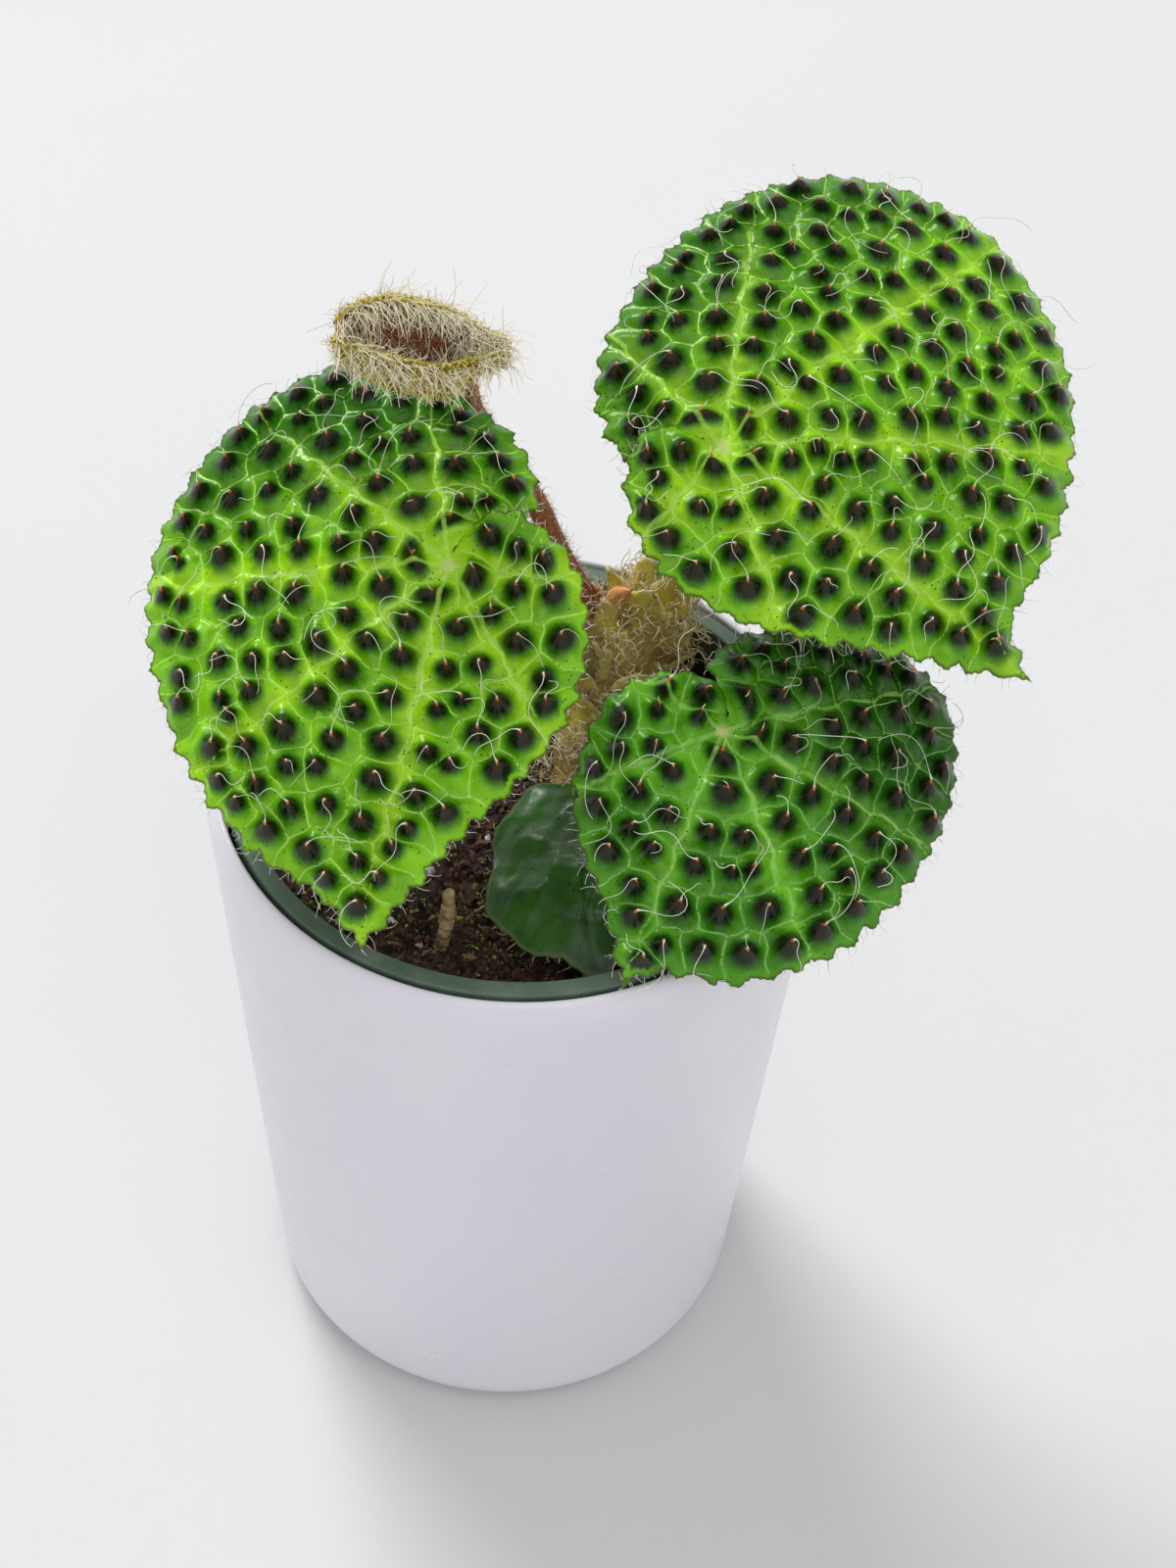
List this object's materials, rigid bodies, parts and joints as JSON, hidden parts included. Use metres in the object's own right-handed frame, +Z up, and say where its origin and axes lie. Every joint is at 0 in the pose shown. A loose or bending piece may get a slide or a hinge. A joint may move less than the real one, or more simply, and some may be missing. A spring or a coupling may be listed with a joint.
{
  "type": "potted begonia",
  "caption": "Potted rhizomatous begonia with bullate, toothed leaves on hairy stems, in a nursery pot set in a white tapered cover pot.",
  "frame": {"origin": "centre of the cover pot's flat underside, on the surface that it stands on", "axes": "+Z up along the pots' axis, -Y towards the viewer of the picture, +X to the viewer's right"},
  "size_m": [0.1626, 0.1395, 0.2266],
  "materials": {
    "white_glaze": "satin",
    "green_plastic": "satin",
    "peat_soil": "matte",
    "golden_rhizome": "matte",
    "hairy_red_stem": "matte",
    "green_stem": "matte",
    "bright_leaf": "satin",
    "deep_leaf": "satin",
    "smooth_leaf": "satin",
    "young_leaf": "matte",
    "orange_bud": "satin",
    "dry_twig": "matte"
  },
  "bodies": {
    "root": {"cover_pot": "white_glaze", "nursery_pot": "green_plastic", "soil": "peat_soil", "twig": "dry_twig", "rhizome": "golden_rhizome", "bud": "orange_bud", "stem_left": "green_stem", "stem_right": "green_stem", "stem_low": "green_stem", "stem_smooth": "green_stem", "stem_folded": "hairy_red_stem", "leaf_left": "bright_leaf", "leaf_right": "bright_leaf", "leaf_low": "deep_leaf", "leaf_smooth": "smooth_leaf", "leaf_folded": "young_leaf"}
  },
  "joints": []
}
